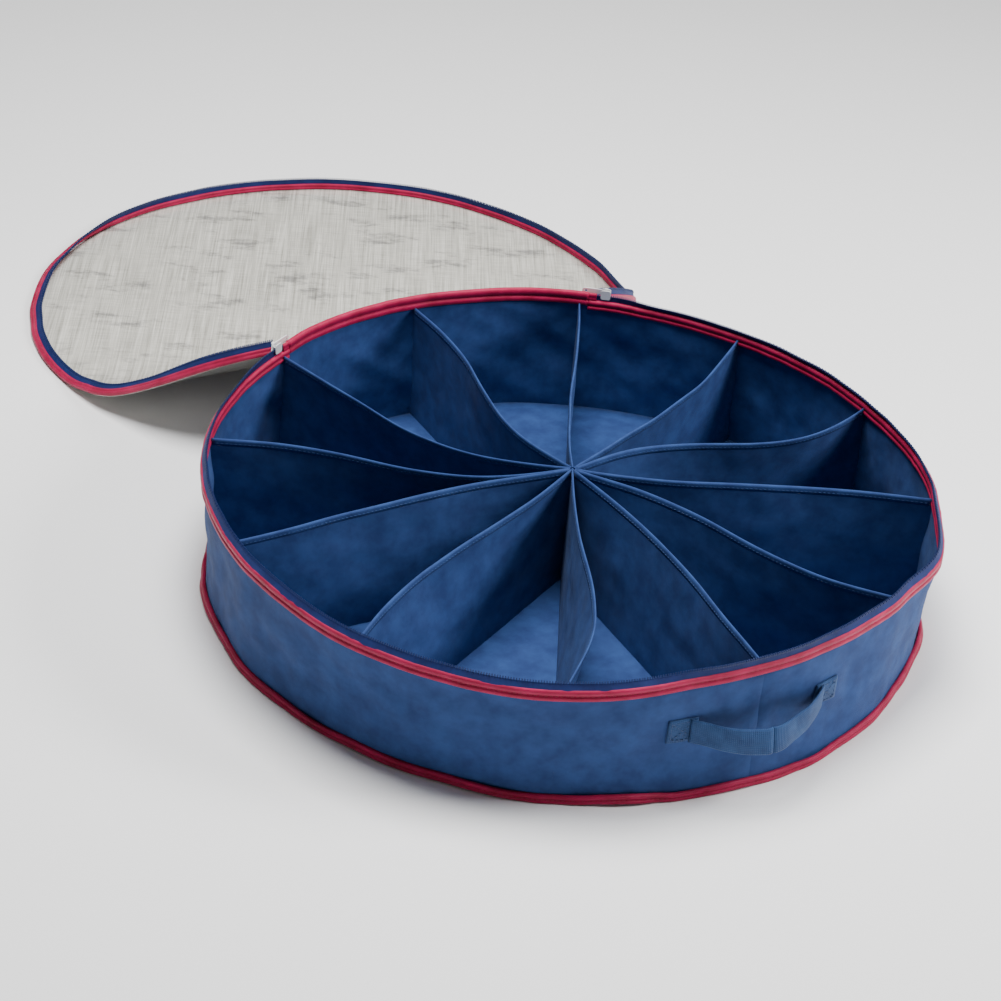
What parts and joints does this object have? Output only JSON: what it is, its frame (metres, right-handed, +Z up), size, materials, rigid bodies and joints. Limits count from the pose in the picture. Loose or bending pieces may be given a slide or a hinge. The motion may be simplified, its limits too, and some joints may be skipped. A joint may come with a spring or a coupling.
{
  "type": "shoe bag",
  "caption": "Round soft shoe bag with pockets arranged like slices round the centre, a see-through lid that folds back on a sewn seam, a zip round the rim and a webbing handle.",
  "frame": {"origin": "centre of the base panel, on its underside", "axes": "+Z up, -Y towards the handle, +Y towards the lid seam and the open lid, +X to the right seen from the handle side"},
  "size_m": [0.8236, 1.4916, 0.1686],
  "materials": {
    "fabric": "matt navy non-woven cloth",
    "webbing": "matt navy woven webbing",
    "red_binding": "crimson folded bias tape with a satin sheen",
    "zip_tape": "matt dark navy woven zip tape",
    "zip_teeth": "satin nylon coil",
    "window": "glossy soft vinyl over a fine woven ground",
    "zip_metal": "bright white metal, polished"
  },
  "bodies": {
    "bag": {"base_panel": "fabric", "base_binding": "red_binding", "wall_panel_left": "fabric", "wall_panel_right": "fabric", "rim_binding": "red_binding", "hinge_binding": "red_binding", "lid_hinge_fold": "window", "centre_seam": "fabric", "zip_tape_bag": "zip_tape", "zip_teeth_bag": "zip_teeth", "zip_end_tab_left": "red_binding", "zip_end_tab_right": "red_binding", "handle_end_left": "webbing", "handle_end_right": "webbing", "divider_01": "fabric", "divider_02": "fabric", "divider_03": "fabric", "divider_04": "fabric", "divider_05": "fabric", "divider_06": "fabric", "divider_07": "fabric", "divider_08": "fabric", "divider_09": "fabric", "divider_10": "fabric", "divider_11": "fabric", "divider_12": "fabric"},
    "lid_near": {"lid_window_near": "window", "lid_binding_near": "red_binding", "zip_tape_lid_near": "zip_tape", "zip_teeth_lid_near": "zip_teeth"},
    "lid_far": {"lid_window_far": "window", "lid_binding_far": "red_binding", "zip_tape_lid_far": "zip_tape", "zip_teeth_lid_far": "zip_teeth"},
    "handle": {"handle_strap": "webbing"},
    "slider_left": {"zip_slider_left": "zip_metal"},
    "slider_right": {"zip_slider_right": "zip_metal"},
    "pull_left": {"zip_pull_left": "zip_metal"},
    "pull_right": {"zip_pull_right": "zip_metal"}
  },
  "joints": [
    {"name": "lid_hinge", "type": "hinge", "parent": "bag", "child": "lid_near", "pos_m": [0.00937, 0.35788, 0.1631], "axis": [0.9997, -0.0262, 0], "range_deg": [0, 214.95], "deforming": ["lid_hinge_fold"]},
    {"name": "lid_bend", "type": "hinge", "parent": "lid_near", "child": "lid_far", "pos_m": [0.01464, 0.55914, 0.0008], "axis": [-0.9997, 0.0262, 0], "range_deg": [0, 34.95]},
    {"name": "zip_slider_left_travel", "type": "hinge", "parent": "bag", "child": "slider_left", "pos_m": [0, 0, 0.1626], "axis": [0, 0, 1], "range_deg": [0, 146.77]},
    {"name": "zip_slider_right_travel", "type": "hinge", "parent": "bag", "child": "slider_right", "pos_m": [0, 0, 0.1626], "axis": [0, 0, -1], "range_deg": [0, 143.77]},
    {"name": "zip_pull_left_flip", "type": "hinge", "parent": "slider_left", "child": "pull_left", "pos_m": [-0.21178, 0.34548, 0.1626], "axis": [0, 0, 1], "range_deg": [0, 110]},
    {"name": "zip_pull_right_flip", "type": "hinge", "parent": "slider_right", "child": "pull_right", "pos_m": [0.22957, 0.33392, 0.1626], "axis": [0, 0, -1], "range_deg": [0, 110]},
    {"name": "handle_lift", "type": "hinge", "parent": "bag", "child": "handle", "pos_m": [0, -0.39614, 0.102], "axis": [-1, 0, 0], "range_deg": [0, 70]}
  ],
  "couplings": [
    {"joint": "lid_bend", "follows": "lid_hinge", "ratio": 0.16259}
  ]
}
